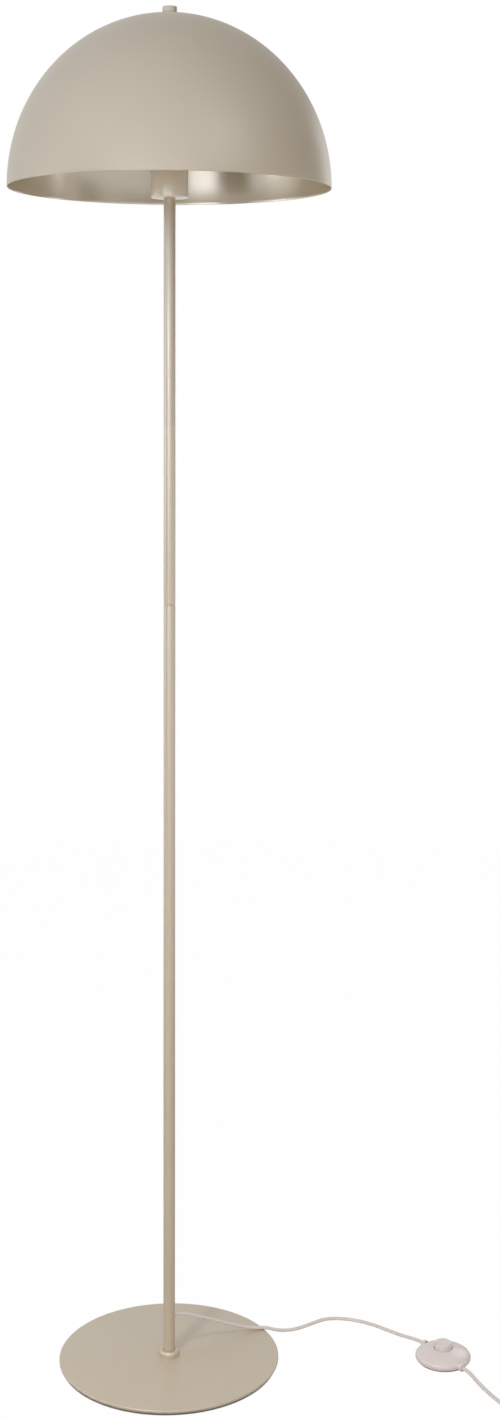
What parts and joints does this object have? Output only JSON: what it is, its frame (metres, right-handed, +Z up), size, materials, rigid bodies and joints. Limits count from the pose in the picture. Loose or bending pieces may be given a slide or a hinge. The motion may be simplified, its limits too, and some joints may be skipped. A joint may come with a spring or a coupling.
{
  "type": "floor lamp",
  "caption": "Floor lamp with a round flat base, slim two-piece pole, dome shade on a bracket with a top knob, and a flat lead with a round foot switch and plug.",
  "frame": {"origin": "on the floor at the middle of the round base", "axes": "+Z up along the pole; the lead leaves towards +X; -Y is the front"},
  "size_m": [0.6397, 0.3701, 1.5],
  "materials": {
    "black_insulator": "black insulator",
    "brass": "stamped brass",
    "ceramic": "glazed steatite block",
    "cord_pvc": "soft white-grey PVC",
    "core_pvc": "core insulation",
    "foam": "dark EVA foam",
    "greige_paint": "satin powder coat, warm greige",
    "holder_plastic": "moulded thermoplastic",
    "led_board": "white circuit board",
    "nickel": "bright nickel plate",
    "nylon": "natural nylon",
    "opal": "opal diffuser",
    "plug_pvc": "moulded white PVC",
    "rubber": "anti-slip rubber",
    "spring_steel": "drawn spring wire",
    "switch_plastic": "moulded off-white plastic",
    "white_plastic": "moulded white plastic",
    "zinc_steel": "bright zinc plate"
  },
  "bodies": {
    "lamp": {"base_pad": "foam", "base_plate": "greige_paint", "base_screw": "zinc_steel", "carrier_stud": "zinc_steel", "centre_contact": "brass", "clamp_screws": "zinc_steel", "cord_clamps": "nylon", "cord_grommet": "white_plastic", "core_wires": "core_pvc", "cover_screws": "zinc_steel", "foot_insert": "zinc_steel", "holder_nipple": "zinc_steel", "holder_screws": "zinc_steel", "inner_lead": "cord_pvc", "joint_nipple": "zinc_steel", "lamp_lead": "cord_pvc", "lampholder_base": "holder_plastic", "lampholder_block": "ceramic", "lampholder_shell": "holder_plastic", "lower_joint_bush": "zinc_steel", "lower_pole": "greige_paint", "nipple_nut": "zinc_steel", "pin_sleeves": "black_insulator", "plug_body": "plug_pvc", "plug_lead": "cord_pvc", "plug_lead_coil": "cord_pvc", "plug_pins": "nickel", "plug_tail": "cord_pvc", "pole_collar": "greige_paint", "shade": "greige_paint", "shade_carrier": "greige_paint", "shade_ring": "holder_plastic", "shade_washer": "nylon", "socket_cup": "greige_paint", "switch_base": "switch_plastic", "switch_contacts": "brass", "switch_cover": "switch_plastic", "switch_lead_ends": "cord_pvc", "switch_pad": "rubber", "switch_spring": "spring_steel", "terminal_screws": "brass", "thread_liner": "brass", "top_bush": "zinc_steel", "upper_joint_bush": "zinc_steel", "upper_pole": "greige_paint"},
    "knob": {"finial_knob": "greige_paint"},
    "bulb": {"bulb_board": "led_board", "bulb_cap": "nickel", "bulb_contact": "black_insulator", "bulb_globe": "opal", "bulb_housing": "white_plastic"},
    "button": {"switch_button": "switch_plastic", "contact_bridge": "brass"}
  },
  "joints": [
    {"name": "knob_turn", "type": "hinge", "parent": "lamp", "child": "knob", "pos_m": [0, 0, 1.4962], "axis": [0, 0, 1], "range_deg": [0, 1620]},
    {"name": "bulb_turn", "type": "hinge", "parent": "lamp", "child": "bulb", "pos_m": [0, 0, 1.36], "axis": [0, 0, 1], "range_deg": [0, 900]},
    {"name": "switch_press", "type": "slide", "parent": "lamp", "child": "button", "axis": [0, 0, -1], "range_m": [0, 0.003], "stiffness_N_per_m": 600, "springref_m": -0.002, "deforming": ["switch_spring"]}
  ]
}
